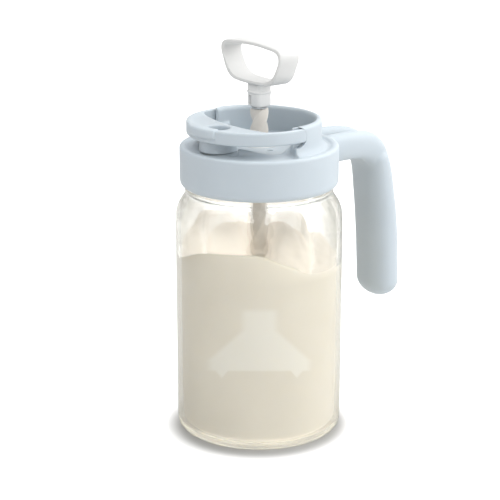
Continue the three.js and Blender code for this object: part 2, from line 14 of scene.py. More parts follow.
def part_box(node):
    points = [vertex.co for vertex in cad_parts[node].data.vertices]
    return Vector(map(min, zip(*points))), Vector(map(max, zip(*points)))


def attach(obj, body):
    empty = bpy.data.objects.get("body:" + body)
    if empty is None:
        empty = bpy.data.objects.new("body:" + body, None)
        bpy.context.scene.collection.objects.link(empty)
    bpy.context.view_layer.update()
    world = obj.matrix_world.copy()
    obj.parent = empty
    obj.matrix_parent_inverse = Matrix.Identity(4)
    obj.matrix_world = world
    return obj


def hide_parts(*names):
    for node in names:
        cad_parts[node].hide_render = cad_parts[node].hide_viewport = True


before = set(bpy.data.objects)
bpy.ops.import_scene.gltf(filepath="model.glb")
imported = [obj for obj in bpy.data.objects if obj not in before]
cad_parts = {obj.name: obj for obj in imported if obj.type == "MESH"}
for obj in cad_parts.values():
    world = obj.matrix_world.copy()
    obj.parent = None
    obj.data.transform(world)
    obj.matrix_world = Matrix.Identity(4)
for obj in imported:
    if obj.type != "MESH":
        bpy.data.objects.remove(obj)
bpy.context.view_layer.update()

MM = 0.001
TURN = 2 * math.pi
VIEW_AZIMUTH = math.radians(38)  # the handle points this far behind the picture plane
VIEW_COS = math.cos(VIEW_AZIMUTH)
VIEW_SIN = math.sin(VIEW_AZIMUTH)
VIEW_RIGHT = (VIEW_COS, -VIEW_SIN, 0)
VIEW_AWAY = (VIEW_SIN, VIEW_COS, 0)
GAP = 0.3  # play between neighbouring pieces, as in the CAD part


def low_corner(node):
    """A CAD node's lowest corner, in millimetres."""
    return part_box(node)[0] / MM


def high_corner(node):
    """A CAD node's highest corner, in millimetres."""
    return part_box(node)[1] / MM


# --- sizes, read from the CAD part where it holds them ---

JAR_RADIUS = high_corner("glass_jar").x
JAR_RIM = high_corner("glass_jar").z
CAP_RADIUS = high_corner("screw_cap").x
CAP_BOTTOM = low_corner("screw_cap").z
DECK_TOP = high_corner("screw_cap").z
CROWN_TOP = high_corner("pour_crown").z
PLUG_BOTTOM = low_corner("spout_plug").z
NUT_BOTTOM = low_corner("drive_nut").z
NUT_TOP = high_corner("drive_nut").z
LOOP_TOP = high_corner("pull_loop").z
SOCKET_BOTTOM = low_corner("handle_socket").z
SOCKET_TOP = high_corner("handle_socket").z
ROD_FOOT = low_corner("twisted_rod").z
ROD_TOP = high_corner("twisted_rod").z

JAR_WALL = 3.3
JAR_FLOOR = 4
JAR_MOUTH = 38
JAR_NECK = 41.3
SHOULDER_FROM = 127  # height where the jar starts to narrow
SHOULDER_TO = 146.2
THREAD_PITCH = 5.08
THREAD_CREST = 42.7
THREAD_FROM = 153.6
GLASS_THINNESS = 0.35  # the share of light that crosses the glass unbent, which softens its edges

CAP_BORE = 43.3
DECK_UNDER = DECK_TOP - 2.5
RIM_X = -3.8  # centre of the outline that the crown and the visor share
RIM_RADIUS = 39.5
CROWN_FOOT = 42.4
CROWN_INNER = 34.2
CROWN_INNER_X = -2
PIVOT_X = -2.4
PIVOT_Z = 184.3
ARM_ROUND = 5.9  # radius of the visor arms' round ends about the pivot
POCKET = 5.95  # radius of the crown's pockets that they turn in
LUG_OUTER = 36.3
LUG_END = -4.6
PIN_RADIUS = 1.7  # the pins of the crown that the visor turns on
PIN_LENGTH = 1.9
SPOUT_X = -30
SPOUT_BORE = 7
NUT_BODY = 9.1
NUT_FLANGE = 12
VENT_X = -6
VENT_Y = -17.3
VENT_RADIUS = 1.95

DECK_BELOW = 160  # holes through the deck are cut from this height
DECK_ABOVE = 180  # to this one
FAR_OUT = 60  # cutting blocks end beyond the churn, at this distance sideways
FAR_UP = 210  # and at this height
STEP_OUT = 10  # a tool that trims another tool ends this much farther out


# --- mesh building ---

def link(name, mesh):
    obj = bpy.data.objects.new(name, mesh)
    bpy.context.collection.objects.link(obj)
    return obj


def to_object(name, bm):
    """A finished bmesh in millimetres becomes an object in metres with its faces turned outwards."""
    bmesh.ops.recalc_face_normals(bm, faces=bm.faces)
    mesh = bpy.data.meshes.new(name)
    bm.to_mesh(mesh)
    bm.free()
    mesh.transform(Matrix.Scale(MM, 4))
    return link(name, mesh)


CORNER_SHARE = 0.49  # the most of a side that one rounded corner may take
ON_AXIS = 1e-6  # a ring with a smaller radius is a single point


def rounded(corners, closed=True, steps=6):
    """An outline of (a, b, rounding) corners with each corner drawn as a short curve."""
    points = []
    count = len(corners)
    for i, (a, b, rounding) in enumerate(corners):
        at = Vector((a, b))
        if rounding == 0 or (not closed and i in (0, count - 1)):
            points.append(at)
            continue
        before = Vector(corners[i - 1][:2])
        after = Vector(corners[(i + 1) % count][:2])
        reach = min(rounding, CORNER_SHARE * (before - at).length, CORNER_SHARE * (after - at).length)
        start = at + (before - at).normalized() * reach
        end = at + (after - at).normalized() * reach
        for k in range(steps + 1):
            t = k / steps
            points.append(start * (1 - t) ** 2 + at * 2 * t * (1 - t) + end * t ** 2)
    return points


def skin(bm, rings, close_rows=False):
    """Joins neighbouring rings of vertices with faces; a ring of one vertex makes a fan."""
    pairs = list(zip(rings, rings[1:]))
    if close_rows:
        pairs.append((rings[-1], rings[0]))
    for low, high in pairs:
        count = max(len(low), len(high))
        for j in range(count):
            k = (j + 1) % count
            if len(low) == 1:
                bm.faces.new((low[0], high[k], high[j]))
            elif len(high) == 1:
                bm.faces.new((low[j], low[k], high[0]))
            else:
                bm.faces.new((low[j], low[k], high[k], high[j]))


def circle(radius, count, centre=(0, 0)):
    """Even points round a circle."""
    angles = [TURN * j / count for j in range(count)]
    return [(centre[0] + radius * math.cos(t), centre[1] + radius * math.sin(t)) for t in angles]


def level_ring(bm, radius, z, segments, centre=(0, 0)):
    """A level ring of vertices, or one vertex on the axis."""
    if radius < ON_AXIS:
        return [bm.verts.new((*centre, z))]
    return [bm.verts.new((x, y, z)) for x, y in circle(radius, segments, centre)]


def lathe(name, corners, segments, centre=(0, 0)):
    """Turns (radius, height, rounding) corners about Z, from the axis round to the axis."""
    bm = bmesh.new()
    skin(bm, [level_ring(bm, r, z, segments, centre) for r, z in rounded(corners, closed=False)])
    return to_object(name, bm)


def loft(name, rings):
    """Skins rows of points and closes both ends."""
    bm = bmesh.new()
    rows = [[bm.verts.new(p) for p in ring] for ring in rings]
    skin(bm, rows)
    bm.faces.new(rows[0])
    bm.faces.new(rows[-1])
    return to_object(name, bm)


def box(name, low, high):
    """A block between two corners."""
    corners = [(low[0], low[1]), (high[0], low[1]), (high[0], high[1]), (low[0], high[1])]
    return loft(name, [[(x, y, z) for x, y in corners] for z in (low[2], high[2])])


def pillar(name, radius, low, high, centre=(0, 0), segments=64):
    """An upright cylinder, used to cut or join."""
    corners = [(0, low, 0), (radius, low, 0), (radius, high, 0), (0, high, 0)]
    return lathe(name, corners, segments, centre)


def pivot_bar(radius, near, far, segments=40):
    """A cylinder along Y about the visor's pivot, used to cut or join."""
    ring = circle(radius, segments, (PIVOT_X, PIVOT_Z))
    return loft("pivot_bar", [[(x, y, z) for x, z in ring] for y in sorted((near, far))])


def settle(obj):
    """Makes an object's modifiers final."""
    graph = bpy.context.evaluated_depsgraph_get()
    mesh = bpy.data.meshes.new_from_object(obj.evaluated_get(graph))
    old = obj.data
    obj.modifiers.clear()
    obj.data = mesh
    bpy.data.meshes.remove(old)


def combine(obj, tools, operation):
    """A boolean of closed meshes; the tools are used up."""
    for tool in tools:
        change = obj.modifiers.new("boolean", "BOOLEAN")
        change.operation = operation
        change.solver = "MANIFOLD"
        change.object = tool
    settle(obj)
    for tool in tools:
        bpy.data.objects.remove(tool)
    return obj


def soften(obj, voxel, rounds, keep):
    """Remeshes a solid in even cells, smooths it, which rounds its edges, and keeps a share of its faces."""
    grid = obj.modifiers.new("grid", "REMESH")
    grid.mode = "VOXEL"
    grid.voxel_size = voxel * MM
    smooth = obj.modifiers.new("smooth", "SMOOTH")
    smooth.factor = 0.5
    smooth.iterations = rounds
    thin = obj.modifiers.new("thin", "DECIMATE")
    thin.ratio = keep
    settle(obj)


def shade(obj, angle=None):
    """Smooths the shading, but keeps edges sharper than the angle (in degrees) crisp."""
    for face in obj.data.polygons:
        face.use_smooth = True
    if angle:
        obj.data.set_sharp_from_angle(angle=math.radians(angle))


WELD = 0.006 * MM  # points closer than this are one point


def clean(obj):
    """Merges points that coincide and drops slivers and stray faces, which booleans leave behind."""
    bm = bmesh.new()
    bm.from_mesh(obj.data)
    many_sided = [face for face in bm.faces if len(face.verts) > 4]
    bmesh.ops.triangulate(bm, faces=many_sided)
    bmesh.ops.remove_doubles(bm, verts=bm.verts, dist=WELD)
    bmesh.ops.dissolve_degenerate(bm, edges=bm.edges, dist=WELD)
    stray = [face for face in bm.faces if all(len(edge.link_faces) == 1 for edge in face.edges)]
    bmesh.ops.delete(bm, geom=stray, context="FACES")
    bm.to_mesh(obj.data)
    bm.free()


def place(obj, material, body, slot, *nodes):
    """Cleans a finished piece, gives it its material and body, and hides the CAD nodes it stands for; the
    slot is not used.
    """
    clean(obj)
    obj.data.materials.clear()
    obj.data.materials.append(material)
    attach(obj, body)
    if nodes:
        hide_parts(*nodes)


def add_edge(obj, width):
    """Bevels the sharp edges by a width in millimetres."""
    edge = obj.modifiers.new("edge", "BEVEL")
    edge.width = width * MM
    edge.segments = 2
    edge.angle_limit = math.radians(50)


def smoothstep(x, low, high):
    """Rises smoothly from 0 to 1 between low and high."""
    t = min(1, max(0, (x - low) / (high - low)))
    return t * t * (3 - 2 * t)


def mix(a, b, t):
    """The value a share t of the way from a to b."""
    return a + (b - a) * t


# --- materials ---

def new_material(name):
    """A material with its node tree and its main shader."""
    material = bpy.data.materials.new(name)
    material.use_nodes = True
    tree = material.node_tree
    return material, tree, tree.nodes["Principled BSDF"]


def feed(tree, node, inputs):
    """Fills a node's inputs, by name or number, with plain values or with other nodes' outputs."""
    for key, value in inputs.items():
        if isinstance(value, bpy.types.NodeSocket):
            tree.links.new(value, node.inputs[key])
        else:
            node.inputs[key].default_value = value


def add_noise(tree, scale, detail):
    coordinates = tree.nodes.new("ShaderNodeTexCoord")
    texture = tree.nodes.new("ShaderNodeTexNoise")
    feed(tree, texture, {"Scale": scale, "Detail": detail, "Vector": coordinates.outputs["Object"]})
    return texture


NOISE_LOW, NOISE_HIGH = 0.3, 0.7  # nearly all of a noise's values lie between these


def map_range(tree, value, start, end, low, high, interpolation="LINEAR"):
    """Maps a value between start and end to one between low and high."""
    node = tree.nodes.new("ShaderNodeMapRange")
    node.interpolation_type = interpolation
    feed(tree, node, {"Value": value, "From Min": start, "From Max": end, "To Min": low, "To Max": high})
    return node.outputs["Result"]


def spread(tree, texture, low, high):
    """Maps a noise to a small range of values."""
    return map_range(tree, texture.outputs[0], NOISE_LOW, NOISE_HIGH, low, high)


def color_ramp(tree, value, start, first, end, second):
    """Blends from the first colour to the second as the value goes from start to end."""
    ramp = tree.nodes.new("ShaderNodeValToRGB")
    elements = ramp.color_ramp.elements
    elements[0].position = start
    elements[0].color = (*first, 1)
    elements[1].position = end
    elements[1].color = (*second, 1)
    tree.links.new(value, ramp.inputs["Fac"])
    return ramp.outputs["Color"]


def tint(tree, texture, dark, light):
    """Maps a noise to a blend of two near colours."""
    return color_ramp(tree, texture.outputs[0], 0.35, dark, 0.65, light)


def math_node(tree, operation, a, b=0):
    """A maths node; each input is another node's output or a plain number."""
    node = tree.nodes.new("ShaderNodeMath")
    node.operation = operation
    feed(tree, node, {0: a, 1: b})
    return node.outputs["Value"]


def mix_shaders(tree, share, first, second):
    """Blends two shader nodes; a share of 1 shows only the second."""
    blend = tree.nodes.new("ShaderNodeMixShader")
    feed(tree, blend, {"Fac": share, 1: first.outputs[0], 2: second.outputs[0]})
    return blend.outputs["Shader"]


def dot_axis(tree, axis, space="Object"):
    """How far along a direction a point lies, in metres when the space is the object's."""
    coordinates = tree.nodes.new("ShaderNodeTexCoord")
    node = tree.nodes.new("ShaderNodeVectorMath")
    node.operation = "DOT_PRODUCT"
    feed(tree, node, {0: coordinates.outputs[space], 1: axis})
    return node.outputs["Value"]


def ramp_up(tree, value, start, end, top=1):
    """Rises smoothly from 0 to top between start and end."""
    return map_range(tree, value, start, end, 0, top, "SMOOTHSTEP")


def ramp_down(tree, value, start, end, top=1):
    """Falls smoothly from top to 0 between start and end."""
    return map_range(tree, value, start, end, top, 0, "SMOOTHSTEP")


def add_bump(tree, texture, strength, distance, below=None):
    """Relief from a noise; the distance is in millimetres, and below is relief that it lies on."""
    bump = tree.nodes.new("ShaderNodeBump")
    feed(tree, bump, {"Strength": strength, "Distance": distance * MM, "Height": texture.outputs[0]})
    if below:
        feed(tree, bump, {"Normal": below})
    return bump.outputs["Normal"]


def moulded(name, dark, light, rough, grain, subsurface=0.0, depth=1.5, coat=0.0):
    """Moulded plastic: two close tones in broad clouds, a fine grain, and a slow waviness from shrinkage."""
    material, tree, shader = new_material(name)
    clouds = add_noise(tree, scale=38, detail=4)
    fine = add_noise(tree, scale=2600, detail=2)
    slow = add_noise(tree, scale=90, detail=1)
    waves = add_bump(tree, slow, strength=0.25, distance=0.05)
    feed(tree, shader, {
        "Base Color": tint(tree, clouds, dark, light),
        "Roughness": spread(tree, fine, *rough),
        "Normal": add_bump(tree, fine, strength=grain, distance=0.03, below=waves),
        "Subsurface Weight": subsurface,
        "Subsurface Radius": (1.0, 0.9, 0.8),
        "Subsurface Scale": depth * MM,
        "Coat Weight": coat,
        "Coat Roughness": 0.25,
    })
    return material


def steel_material():
    """Steel with fine brushed streaks."""
    material, tree, shader = new_material("pin_steel")
    brushed = add_noise(tree, scale=900, detail=2)
    feed(tree, brushed, {"Distortion": 1.5})
    feed(tree, shader, {
        "Base Color": tint(tree, brushed, (0.52, 0.53, 0.54), (0.6, 0.61, 0.62)),
        "Roughness": spread(tree, brushed, low=0.24, high=0.4),
        "Normal": add_bump(tree, brushed, strength=0.2, distance=0.02),
        "Metallic": 1,
    })
    return material


def edge_tone(tree, face, edge):
    """The glass's colour, a little greyer where it curves away."""
    slant = tree.nodes.new("ShaderNodeFresnel")
    return color_ramp(tree, slant.outputs["Fac"], 0.12, face, 0.45, edge)


def glass_material():
    """Clear glass that bends light, with faint waves from pressing; lamps shine straight through it."""
    material, tree, shader = new_material("jar_glass")
    tree.nodes.remove(shader)
    waves = add_noise(tree, scale=22, detail=1)
    pitting = add_noise(tree, scale=500, detail=2)
    tone = edge_tone(tree, (0.985, 0.985, 0.975), (0.87, 0.87, 0.85))
    glass = tree.nodes.new("ShaderNodeBsdfGlass")
    feed(tree, glass, {
        "Color": tone,
        "IOR": 1.4,
        "Roughness": spread(tree, pitting, low=0.0, high=0.02),
        "Normal": add_bump(tree, waves, strength=0.12, distance=0.4),
    })
    clear = tree.nodes.new("ShaderNodeBsdfTransparent")
    feed(tree, clear, {"Color": tone})
    path = tree.nodes.new("ShaderNodeLightPath")
    straight = math_node(tree, "MAXIMUM", path.outputs["Is Shadow Ray"], path.outputs["Is Diffuse Ray"])
    straight = math_node(tree, "MAXIMUM", straight, GLASS_THINNESS)
    feed(tree, tree.nodes["Material Output"], {"Surface": mix_shaders(tree, straight, glass, clear)})
    return material


# painted light: the bell painted faintly lighter on the cream's front and back, as if it showed through, in
# millimetres
GHOST_RIM = 33
GHOST_TOP = 70
GHOST_SLOPE = (40, 58)  # heights where the bell's slope starts and ends
GHOST_HALF = (30, 10.5)  # half widths below and above the slope
GHOST_FOOT_X = 21.5
GHOST_FOOT_TIP = 28.6
GHOST_STRENGTH = 0.6
GHOST_SAG = 0.36  # levels are drawn lower where the cream comes nearer, as the camera looks down on them


def painted_bell_mask(tree):
    """A mask on the cream's front and back where the whisk bell is painted faintly lighter, as if it showed
    through: painted light.
    """
    side = math_node(tree, "ABSOLUTE", dot_axis(tree, VIEW_RIGHT))
    depth = math_node(tree, "ABSOLUTE", dot_axis(tree, VIEW_AWAY))
    height = dot_axis(tree, (0, 0, 1))
    level = math_node(tree, "SUBTRACT", height, math_node(tree, "MULTIPLY", depth, GHOST_SAG))
    half = map_range(tree, level, *(value * MM for value in (*GHOST_SLOPE, *GHOST_HALF)))
    inside = ramp_up(tree, math_node(tree, "SUBTRACT", half, side), -1.5 * MM, 4 * MM)
    below_top = ramp_down(tree, level, (GHOST_TOP - 2) * MM, (GHOST_TOP + 2.5) * MM)
    above_rim = ramp_up(tree, level, (GHOST_RIM - 0.4) * MM, (GHOST_RIM + 1) * MM)
    body = math_node(tree, "MULTIPLY", math_node(tree, "MULTIPLY", inside, below_top), above_rim)
    off_foot = math_node(tree, "ABSOLUTE", math_node(tree, "SUBTRACT", side, GHOST_FOOT_X * MM))
    above_tip = math_node(tree, "SUBTRACT", level, GHOST_FOOT_TIP * MM)
    foot_half = math_node(tree, "MULTIPLY", above_tip, 0.8)
    foot = ramp_up(tree, math_node(tree, "SUBTRACT", foot_half, off_foot), -0.5 * MM, MM)
    below_rim = ramp_down(tree, level, (GHOST_RIM + 1) * MM, (GHOST_RIM + 3) * MM)
    foot = math_node(tree, "MULTIPLY", foot, below_rim)
    shown = math_node(tree, "MAXIMUM", body, foot)
    facing = ramp_up(tree, depth, 24 * MM, 34 * MM)
    return math_node(tree, "MULTIPLY", shown, facing)


def dairy(name, dark, light, bump_depth, rough):
    """Cream or butter: light scattered inside it, clouds of two near tones and a finely uneven surface."""
    material, tree, shader = new_material(name)
    clouds = add_noise(tree, scale=24, detail=3)
    curds = add_noise(tree, scale=160, detail=4)
    feed(tree, shader, {
        "Base Color": tint(tree, clouds, dark, light),
        "Roughness": spread(tree, curds, *rough),
        "Normal": add_bump(tree, curds, strength=0.5, distance=bump_depth),
        "Subsurface Weight": 0.3,
        "Subsurface Radius": (1.0, 0.85, 0.6),
        "Subsurface Scale": 4 * MM,
    })
    return material, tree, shader


def cream_material():
    """Cream with the bell painted faintly lighter on it, as if it showed through: painted light."""
    material, tree, shader = dairy(
        "cream", (0.64, 0.598, 0.51), (0.67, 0.628, 0.54), bump_depth=0.2, rough=(0.28, 0.4))
    plain = shader.inputs["Base Color"].links[0].from_socket
    # painted light: the cream is blended towards a lighter tone where the bell would show through
    ghost = tree.nodes.new("ShaderNodeMix")
    ghost.data_type = "RGBA"
    sockets = {socket.identifier: socket for socket in ghost.inputs}
    sockets["B_Color"].default_value = (0.75, 0.735, 0.675, 1)
    tree.links.new(math_node(tree, "MULTIPLY", painted_bell_mask(tree), GHOST_STRENGTH), sockets["Factor_Float"])
    tree.links.new(plain, sockets["A_Color"])
    result = next(socket for socket in ghost.outputs if socket.identifier == "Result_Color")
    feed(tree, shader, {"Base Color": result})
    return material


BUTTER_GLOW = 0.62  # painted glow towards the handle
BUTTER_GLOW_MORE = 0.38  # painted light: this much more glow is added on the pouring side, which the lamps leave darker


def butter_material():
    """Butter that glows a little: painted light that stands in for light scattered through it, and evens out
    the lamps' shading.
    """
    light = (0.56, 0.515, 0.455)
    material, tree, shader = dairy("butter", (0.52, 0.475, 0.41), light, bump_depth=0.5, rough=(0.45, 0.6))
    # painted light: more glow on the pouring side, where the lamps light the butter less
    more = ramp_down(tree, dot_axis(tree, VIEW_RIGHT), -4 * MM, 14 * MM, BUTTER_GLOW_MORE)
    glow = math_node(tree, "ADD", BUTTER_GLOW, more)
    feed(tree, shader, {"Emission Color": (*light, 1), "Emission Strength": glow})
    return material


CAP_PLASTIC = moulded(
    "cap_plastic", (0.456, 0.512, 0.553), (0.47, 0.526, 0.568),
    rough=(0.42, 0.52), grain=0.25, subsurface=0.35, depth=5)
LOOP_PLASTIC = moulded(
    "loop_plastic", (0.62, 0.62, 0.61), (0.645, 0.645, 0.635), rough=(0.4, 0.5), grain=0.2)
ROD_PLASTIC = moulded(
    "rod_plastic", (0.65, 0.61, 0.555), (0.71, 0.67, 0.615), rough=(0.3, 0.42), grain=0.2, coat=0.2)
SOCKET_PLASTIC = moulded(
    "socket_plastic", (0.72, 0.72, 0.71), (0.75, 0.75, 0.74), rough=(0.4, 0.5), grain=0.2)
NUT_NYLON = moulded(
    "white_nylon", (0.66, 0.67, 0.66), (0.70, 0.71, 0.70), rough=(0.4, 0.5), grain=0.2)
BELL_PLASTIC = moulded(
    "bell_plastic", (0.76, 0.76, 0.73), (0.80, 0.80, 0.77), rough=(0.35, 0.45), grain=0.2)
SILICONE = moulded(
    "silicone", (0.66, 0.67, 0.67), (0.70, 0.71, 0.71), rough=(0.6, 0.7), grain=0.3)
STEEL = steel_material()
GLASS = glass_material()
CREAM = cream_material()
BUTTER = butter_material()


# --- jar and what is in it ---

def thread_ridge(name, root, crest, start, turns=1.25):
    """A rounded helical ridge whose ends run out into the wall."""
    steps = 150
    run_out = 14  # steps over which an end fades
    rings = []
    for i in range(steps + 1):
        out = min(1, min(i, steps - i) / run_out)
        angle = turns * TURN * i / steps
        z = start + THREAD_PITCH * angle / TURN
        tip = mix(root, crest, 0.05 + 0.95 * math.sin(out * math.pi / 2))
        sunk = root - 0.6
        section = [(sunk, 1.15), (mix(root, tip, 0.75), 0.85), (tip, 0.45), (tip, -0.45),
                   (mix(root, tip, 0.75), -0.85), (sunk, -1.15)]
        rings.append([(r * math.cos(angle), r * math.sin(angle), z + w) for r, w in section])
    return loft(name, rings)


def floor_corners(radius, floor):
    """The inside of the jar's bottom, domed by a little: (radius, height, rounding) from wall to axis."""
    return [(radius, floor, 4.5), (22, floor + 0.4, 6), (0, floor + 0.6, 0)]


def build_jar():
    """The glass: a lathed body with a pushed-up foot, a shoulder, a transfer bead and a threaded neck."""
    inner = JAR_RADIUS - JAR_WALL
    foot = [(0, 1.4, 0), (30, 1.0, 4), (38.5, 0, 1.6), (JAR_RADIUS, 0, 9)]
    shoulder = [
        (JAR_RADIUS, SHOULDER_FROM, 14), (JAR_RADIUS - 0.6, SHOULDER_FROM + 10, 8),
        (43.4, SHOULDER_TO - 1.2, 5), (43.2, SHOULDER_TO, 1),
    ]
    bead = [(43.9, SHOULDER_TO + 1, 0.8), (43.9, SHOULDER_TO + 2, 0.8), (JAR_NECK, SHOULDER_TO + 3.4, 1.2)]
    mouth = [(JAR_NECK, JAR_RIM, 1.4), (JAR_MOUTH, JAR_RIM, 1.4), (JAR_MOUTH, SHOULDER_TO + 1, 3)]
    inside = [(inner - 1.2, SHOULDER_FROM + 8, 7), (inner, SHOULDER_FROM - 4, 8)]
    outline = foot + shoulder + bead + mouth + inside + floor_corners(inner, JAR_FLOOR)
    jar = lathe("jar", outline, 192)
    combine(jar, [thread_ridge("jar_thread", JAR_NECK, THREAD_CREST, THREAD_FROM)], "UNION")
    shade(jar, 40)
    place(jar, GLASS, "jar", "jar_glass", "glass_jar")


CREAM_REACH = 0.04  # the cream goes this far into the glass, so that the glass looks wet
CREAM_HEIGHT = 108
CREAM_CLING = 11  # how far the cream climbs the front wall
CREAM_WALL_TOP = 100  # the cream's side is plain up to this height
CREAM_EDGE_DROP = 0.9  # the surface is lower by this where it meets the glass


def across_and_toward(x, y):
    """A point's distance to the right and towards the front, as the main view sees it."""
    return VIEW_COS * x - VIEW_SIN * y, -VIEW_SIN * x - VIEW_COS * y


def cream_level(x, y):
    """The cream's top: it clings to the glass at the front, and is lower towards the handle."""
    across, toward = across_and_toward(x, y)
    cling = CREAM_CLING * smoothstep(math.hypot(x, y), 31, 45) * smoothstep(abs(toward), 4, 42)
    cling *= 1 - smoothstep(across, -4, 30)
    dip = 4 * smoothstep(across, 18, 42)
    swell = noise.noise(Vector((x / 24, y / 24, 3.1)))
    return CREAM_HEIGHT + cling - dip + swell


def build_cream():
    """A block of cream that fills the jar up to its wavy top."""
    bm = bmesh.new()
    inner = JAR_RADIUS - JAR_WALL + CREAM_REACH
    bottom = list(reversed(floor_corners(inner, JAR_FLOOR - CREAM_REACH)))
    segments = 144
    shares = [1, 0.985, 0.95, 0.88, 0.78, 0.66, 0.54, 0.42, 0.3, 0.18]
    levels = [0.0, 0.55, 0.9] + [1] * 7
    walls = rounded([*bottom, (inner, CREAM_WALL_TOP, 0)], closed=False, steps=8)
    rings = [level_ring(bm, r, z, segments) for r, z in walls]
    for share, rise in zip(shares, levels):
        drop = CREAM_EDGE_DROP * (1 - rise)
        ring = circle(inner * share, segments)
        rings.append([bm.verts.new((x, y, cream_level(x, y) - drop)) for x, y in ring])
    rings.append([bm.verts.new((0, 0, cream_level(0, 0)))])
    skin(bm, rings)
    cream = to_object("cream_contents", bm)
    shade(cream)
    place(cream, CREAM, "jar", "bell_plastic")


BUTTER_UNDER = 98  # the butter's hidden underside, in the cream
BUTTER_BASE = 107.5
ROD_WAY = 6.2  # radius of the hole that the rod slides in


def mound(value, centre, half_width, power=4):
    """1 at the centre and falling to nothing past the half width; a power of 4 has a flat top."""
    return math.exp(-((value - centre) / half_width) ** power)


def butter_top(x, y):
    """Two flat-topped heaps with a valley in front of the rod between them, and a step to their right."""
    across, toward = across_and_toward(x, y)
    left = 18.5 * mound(across, -24, 23) * mound(toward, -8, 33)
    right = 19 * mound(across, 18, 13.5) * mound(toward, -4, 33)
    step = 11 * mound(across, 34, 8, power=2) * mound(toward, -2, 27)
    valley = mound(across, -0.5, 7.5) * smoothstep(toward, -12, -3)
    coarse = 1.5 * noise.noise(Vector((x / 9, y / 9, 7.3)))
    fine = 0.8 * noise.noise(Vector((x / 4.2, y / 4.2, 1.9)))
    tallest = max(left, right, step)
    heap = tallest + 0.25 * (left + right + step - tallest)
    return BUTTER_BASE + heap * (1 - valley) + coarse + fine


def build_butter():
    """The whipped mass on the cream, with room for the rod to slide."""
    bm = bmesh.new()
    inner = JAR_RADIUS - JAR_WALL + CREAM_REACH - 0.3
    segments, rows = 160, 44
    rings = [level_ring(bm, r, BUTTER_UNDER, segments) for r in (0, inner)]
    for i in range(rows):
        ring = circle(inner * (1 - i / rows), segments)
        rings.append([bm.verts.new((x, y, butter_top(x, y))) for x, y in ring])
    rings.append([bm.verts.new((0, 0, butter_top(0, 0)))])
    skin(bm, rings)
    butter = to_object("butter_mass", bm)
    keep = lathe("butter_limit", [
        (0, 90, 0), (inner, 90, 2), (inner, SHOULDER_FROM - 5, 6), (inner - 3, 136, 4), (0, 137, 0),
    ], 96)
    combine(butter, [keep], "INTERSECT")
    soften(butter, voxel=0.8, rounds=5, keep=0.6)
    combine(butter, [pillar("rod_way", ROD_WAY, 90, 150)], "DIFFERENCE")
    shade(butter, 50)
    place(butter, BUTTER, "jar", "bell_plastic")


build_jar()
build_cream()
build_butter()


# --- lid ---

def crown_solid():
    """The raised ring on the deck, cut off where the visor takes its outline over."""
    ring = lathe("crown", [
        (0, DECK_TOP - 1, 0), (CROWN_FOOT, DECK_TOP - 1, 0), (CROWN_FOOT - 0.2, DECK_TOP, 0),
        (RIM_RADIUS + 0.7, DECK_TOP + 1.1, 1.2), (RIM_RADIUS, DECK_TOP + 3.8, 1.2),
        (RIM_RADIUS, CROWN_TOP, 1.7), (0, CROWN_TOP, 0),
    ], 160, centre=(RIM_X, 0))
    hollow = lathe("crown_hollow", [
        (0, DECK_TOP - 2, 0), (CROWN_INNER, DECK_TOP - 2, 0), (CROWN_INNER, CROWN_TOP - 1.4, 1),
        (CROWN_INNER + 1.1, CROWN_TOP, 0.5), (CROWN_INNER + 1.3, CROWN_TOP + 3, 0), (0, CROWN_TOP + 3, 0),
    ], 160, centre=(CROWN_INNER_X, 0))
    keep = box("handle_side", (LUG_END, -FAR_OUT, DECK_UNDER), (FAR_OUT, FAR_OUT, FAR_UP))
    combine(ring, [hollow], "DIFFERENCE")
    return combine(ring, [keep], "INTERSECT")


def crown_pockets():
    """The room for the visor's arms, cut after softening so that the seams stay fine."""
    pockets = []
    for side in (1, -1):
        low, high = sorted((side * LUG_OUTER, side * FAR_OUT))
        pockets.append(pivot_bar(POCKET, low, high, 96))
        pockets.append(box(f"arm_way_{side}", (-FAR_OUT, low, PIVOT_Z - POCKET), (PIVOT_X, high, FAR_UP)))
    return pockets


WALL_FROM, WALL_TO = 84, 149  # the pouring wall's ends, in degrees from the handle
WALL_HIGH = 180.6  # its top at the crown
WALL_LOW = 175.2  # and in its dip
WALL_RISE = 2.8  # from the dip to its far end
WALL_FLARE = 1.2  # how far its foot spreads on each side


def pour_wall(side):
    """The low wall beside the pouring hole: falls from the crown, dips, and rises towards the plug."""
    rings = []
    steps = 44
    for i in range(steps + 1):
        along = i / steps
        angle = math.radians(side * mix(WALL_FROM, WALL_TO, along))
        fall = smoothstep(along, 0.08, 0.38)
        rise = smoothstep(along, 0.46, 1)
        top = mix(WALL_HIGH, WALL_LOW, fall) + WALL_RISE * rise
        section = [
            (32.3, top - 0.8), (32.8, top), (34.4, top), (34.8, top - 0.8), (35.1, DECK_TOP + 1),
            (35.4 + WALL_FLARE, DECK_TOP - 0.8), (31.9 - WALL_FLARE, DECK_TOP - 0.8), (32.1, DECK_TOP + 1),
        ]
        rings.append([(r * math.cos(angle), r * math.sin(angle), z) for r, z in section])
    return loft("pour_wall", rings)


def smooth_path(points, count):
    """Even points along a smooth curve through the given (x, z) points."""
    spans = len(points) - 1
    fine = []
    parts = 24  # fine steps in each span
    for i in range(spans):
        p0 = Vector(points[max(0, i - 1)])
        p1 = Vector(points[i])
        p2 = Vector(points[i + 1])
        p3 = Vector(points[min(spans, i + 2)])
        for k in range(parts):
            t = k / parts
            square = (2 * p0 - 5 * p1 + 4 * p2 - p3) * t ** 2
            cube = (3 * p1 - p0 - 3 * p2 + p3) * t ** 3
            fine.append(0.5 * (2 * p1 + (p2 - p0) * t + square + cube))
    fine.append(Vector(points[-1]))
    lengths = [0]
    for a, b in zip(fine, fine[1:]):
        lengths.append(lengths[-1] + (b - a).length)
    even = []
    index = 0
    for i in range(count + 1):
        want = lengths[-1] * i / count
        while index < len(fine) - 2 and lengths[index + 1] < want:
            index += 1
        span = lengths[index + 1] - lengths[index]
        even.append(fine[index].lerp(fine[index + 1], (want - lengths[index]) / span))
    return even


